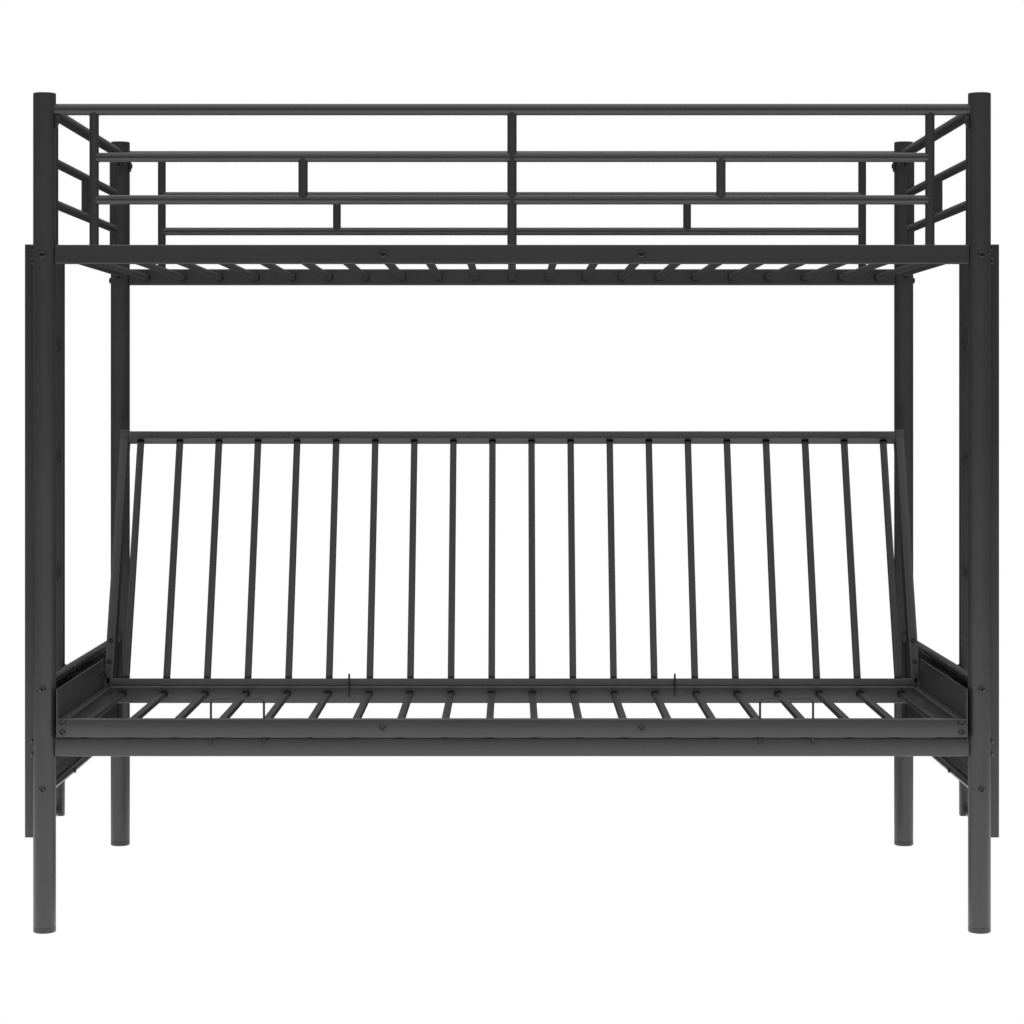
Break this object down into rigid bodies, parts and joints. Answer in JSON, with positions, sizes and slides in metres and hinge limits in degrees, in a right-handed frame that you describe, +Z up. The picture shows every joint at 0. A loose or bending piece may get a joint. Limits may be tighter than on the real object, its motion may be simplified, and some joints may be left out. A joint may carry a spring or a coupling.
{
  "type": "sofa bunk bed",
  "caption": "Metal bunk bed with a guarded upper deck and end ladders; the slatted sofa below slides forward and folds flat",
  "frame": {"origin": "on the floor, midway between the four posts, with the sofa upright", "axes": "X along the bed's length, Y from the sofa's front (-Y) to its back (+Y), Z up"},
  "size_m": [2.076, 1.0962, 1.777],
  "materials": {
    "post_paint": "satin black powder coat",
    "frame_paint": "satin black powder coat",
    "seat_paint": "satin black powder coat",
    "sheet_paint": "satin black powder coat on sheet",
    "track_steel": "black powder coat, rubbed where the block runs",
    "black_bolt": "black oxide",
    "wire_black": "black powder coat on wire",
    "black_plastic": "matte moulded plastic"
  },
  "bodies": {
    "frame": {"post_front_left": "post_paint", "post_front_right": "post_paint", "deck_rail_front": "frame_paint", "guard_front": "frame_paint", "stretcher_front": "frame_paint", "post_rear_left": "post_paint", "post_rear_right": "post_paint", "deck_rail_rear": "frame_paint", "guard_rear": "frame_paint", "stretcher_rear": "frame_paint", "deck_end_rail_left": "frame_paint", "end_guard_left": "frame_paint", "ladder_left": "frame_paint", "panel_frame_left": "frame_paint", "panel_sheet_left": "sheet_paint", "slide_track_left": "track_steel", "deck_end_rail_right": "frame_paint", "end_guard_right": "frame_paint", "ladder_right": "frame_paint", "panel_frame_right": "frame_paint", "panel_sheet_right": "sheet_paint", "slide_track_right": "track_steel", "deck_slats": "frame_paint", "guard_tabs": "frame_paint", "post_feet": "black_plastic", "post_caps": "black_plastic", "glide_pads": "black_plastic", "rest_pads": "black_plastic", "rail_bolts": "black_bolt", "end_frame_bolts": "black_bolt", "guard_bolts": "black_bolt", "end_guard_bolts": "black_bolt", "deck_bolts": "black_bolt", "ladder_bolts": "black_bolt"},
    "seat": {"seat_front_rail": "seat_paint", "seat_rear_rail": "seat_paint", "seat_slats": "seat_paint", "seat_side_tube_left": "seat_paint", "seat_side_tube_right": "seat_paint", "seat_side_plate_left": "sheet_paint", "seat_side_plate_right": "sheet_paint", "slide_block_left": "black_plastic", "slide_block_right": "black_plastic", "mattress_stops": "wire_black", "wire_loops": "wire_black", "hinge_pins": "black_bolt", "hinge_washers": "black_bolt", "block_rivets": "black_bolt", "seat_bolts": "black_bolt"},
    "backrest": {"backrest_bottom_rail": "seat_paint", "backrest_top_rail": "seat_paint", "backrest_side_left": "seat_paint", "backrest_side_right": "seat_paint", "backrest_bars": "seat_paint", "backrest_caps": "black_plastic", "hinge_bracket_left": "sheet_paint", "hinge_bracket_right": "sheet_paint", "backrest_bolts": "black_bolt"}
  },
  "joints": [
    {"name": "seat_slide", "type": "slide", "parent": "frame", "child": "seat", "axis": [0, -1, 0], "range_m": [0, 0.2]},
    {"name": "backrest_hinge", "type": "hinge", "parent": "seat", "child": "backrest", "pos_m": [0, 0.074, 0.45], "axis": [-1, 0, 0], "range_deg": [0, 66.77]}
  ],
  "couplings": [
    {"joint": "backrest_hinge", "follows": "seat_slide", "rad_per_m": 5.826}
  ]
}
